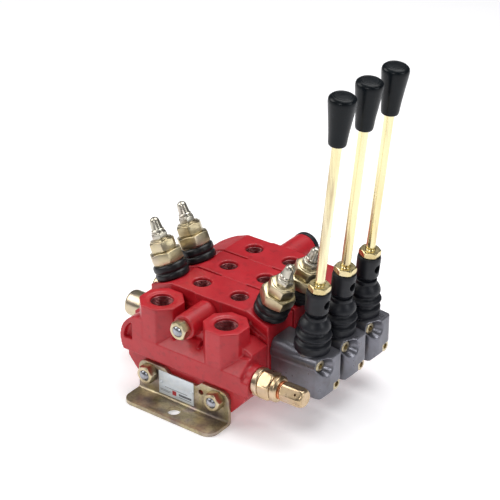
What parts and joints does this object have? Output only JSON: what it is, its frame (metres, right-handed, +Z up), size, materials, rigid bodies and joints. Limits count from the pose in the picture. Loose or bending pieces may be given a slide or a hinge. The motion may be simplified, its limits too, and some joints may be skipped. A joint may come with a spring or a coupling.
{
  "type": "hydraulic directional control valve",
  "caption": "Stacked hydraulic directional valve with spring-centred hand levers, port relief valves, a main relief valve and two mounting feet.",
  "frame": {"origin": "midway between the two bracket holes, on the underside of the feet", "axes": "+X towards the hand levers, +Y from the inlet section to the end section, +Z up, out of the work ports"},
  "size_m": [0.2762, 0.278, 0.3605],
  "materials": {
    "painted_casting": "gloss red enamel over a sand casting",
    "housing_paint": "satin silver-grey paint over a die casting",
    "zinc_yellow": "yellow passivated zinc plating",
    "zinc_bright": "pale zinc plating",
    "relief_gold": "gold passivated zinc plating",
    "copper_washer": "soft copper",
    "dark_steel": "plain turned steel, oiled",
    "ground_steel": "ground and hardened",
    "spring_steel": "oil tempered wire",
    "seal_rubber": "black nitrile rubber",
    "boot_rubber": "black moulded rubber",
    "socket_black": "black coated steel",
    "knob_plastic": "black moulded plastic",
    "nut_gold": "yellow passivated zinc plating",
    "rod_zinc": "bright yellow zinc plating",
    "plate_white": "satin anodised aluminium"
  },
  "bodies": {
    "root": {"inlet_section": "painted_casting", "work_section_1": "painted_casting", "work_section_2": "painted_casting", "work_section_3": "painted_casting", "end_section": "painted_casting", "section_seals": "seal_rubber", "tie_rods": "dark_steel", "tie_rod_nuts": "zinc_yellow", "boss_plug": "socket_black", "front_bracket": "zinc_yellow", "rear_bracket": "zinc_yellow", "name_plate": "plate_white", "plate_rivets": "plate_white", "main_relief_body": "relief_gold", "main_relief_washer": "copper_washer", "main_relief_cap": "relief_gold", "main_relief_adjuster": "relief_gold", "main_relief_spring": "spring_steel", "port_relief_collars": "seal_rubber", "port_relief_bodies": "zinc_yellow", "port_relief_nuts": "zinc_bright", "port_relief_adjusters": "zinc_bright", "port_relief_poppets": "ground_steel", "spool_end_caps": "zinc_yellow", "spool_seals": "seal_rubber", "housing_screws": "zinc_yellow", "pivot_pins": "ground_steel", "load_check_plugs": "zinc_yellow", "load_check_spring_1": "spring_steel", "load_check_spring_2": "spring_steel", "load_check_spring_3": "spring_steel", "lever_housing_1": "housing_paint", "lever_housing_2": "housing_paint", "lever_housing_3": "housing_paint", "centring_spring_1": "spring_steel", "centring_spring_2": "spring_steel", "centring_spring_3": "spring_steel", "lever_boot_1": "boot_rubber", "lever_boot_2": "boot_rubber", "lever_boot_3": "boot_rubber"},
    "lever_1": {"lever_socket_1": "socket_black", "lever_nut_1": "nut_gold", "lever_rod_1": "rod_zinc", "lever_knob_1": "knob_plastic"},
    "spool_body_1": {"spool_1": "ground_steel"},
    "load_check_1": {"load_check_poppet_1": "ground_steel"},
    "lever_2": {"lever_socket_2": "socket_black", "lever_nut_2": "nut_gold", "lever_rod_2": "rod_zinc", "lever_knob_2": "knob_plastic"},
    "spool_body_2": {"spool_2": "ground_steel"},
    "load_check_2": {"load_check_poppet_2": "ground_steel"},
    "lever_3": {"lever_socket_3": "socket_black", "lever_nut_3": "nut_gold", "lever_rod_3": "rod_zinc", "lever_knob_3": "knob_plastic"},
    "spool_body_3": {"spool_3": "ground_steel"},
    "load_check_3": {"load_check_poppet_3": "ground_steel"},
    "main_relief_valve": {"main_relief_poppet": "ground_steel"}
  },
  "joints": [
    {"name": "lever_tilt_1", "type": "hinge", "parent": "root", "child": "lever_1", "pos_m": [0.11345, -0.045, 0.0836], "axis": [0, 1, 0], "range_deg": [-13.5, 13.5], "stiffness_Nm_per_rad": 4, "deforming": ["lever_boot_1"]},
    {"name": "spool_slide_1", "type": "slide", "parent": "root", "child": "spool_body_1", "axis": [1, 0, 0], "range_m": [-0.0071, 0.0071], "deforming": ["centring_spring_1"]},
    {"name": "load_check_lift_1", "type": "slide", "parent": "root", "child": "load_check_1", "axis": [0, 0, -1], "range_m": [0, 0.0025], "stiffness_N_per_m": 600, "springref_m": -0.002, "deforming": ["load_check_spring_1"]},
    {"name": "lever_tilt_2", "type": "hinge", "parent": "root", "child": "lever_2", "pos_m": [0.11345, 0, 0.0836], "axis": [0, 1, 0], "range_deg": [-13.5, 13.5], "stiffness_Nm_per_rad": 4, "deforming": ["lever_boot_2"]},
    {"name": "spool_slide_2", "type": "slide", "parent": "root", "child": "spool_body_2", "axis": [1, 0, 0], "range_m": [-0.0071, 0.0071], "deforming": ["centring_spring_2"]},
    {"name": "load_check_lift_2", "type": "slide", "parent": "root", "child": "load_check_2", "axis": [0, 0, -1], "range_m": [0, 0.0025], "stiffness_N_per_m": 600, "springref_m": -0.002, "deforming": ["load_check_spring_2"]},
    {"name": "lever_tilt_3", "type": "hinge", "parent": "root", "child": "lever_3", "pos_m": [0.11345, 0.045, 0.0836], "axis": [0, 1, 0], "range_deg": [-13.5, 13.5], "stiffness_Nm_per_rad": 4, "deforming": ["lever_boot_3"]},
    {"name": "spool_slide_3", "type": "slide", "parent": "root", "child": "spool_body_3", "axis": [1, 0, 0], "range_m": [-0.0071, 0.0071], "deforming": ["centring_spring_3"]},
    {"name": "load_check_lift_3", "type": "slide", "parent": "root", "child": "load_check_3", "axis": [0, 0, -1], "range_m": [0, 0.0025], "stiffness_N_per_m": 600, "springref_m": -0.002, "deforming": ["load_check_spring_3"]},
    {"name": "main_relief_lift", "type": "slide", "parent": "root", "child": "main_relief_valve", "axis": [1, 0, 0], "range_m": [0, 0.002], "stiffness_N_per_m": 4000, "springref_m": -0.004, "deforming": ["main_relief_spring"]}
  ],
  "couplings": [
    {"joint": "spool_slide_1", "follows": "lever_tilt_1", "m_per_rad": -0.0298},
    {"joint": "spool_slide_2", "follows": "lever_tilt_2", "m_per_rad": -0.0298},
    {"joint": "spool_slide_3", "follows": "lever_tilt_3", "m_per_rad": -0.0298}
  ]
}
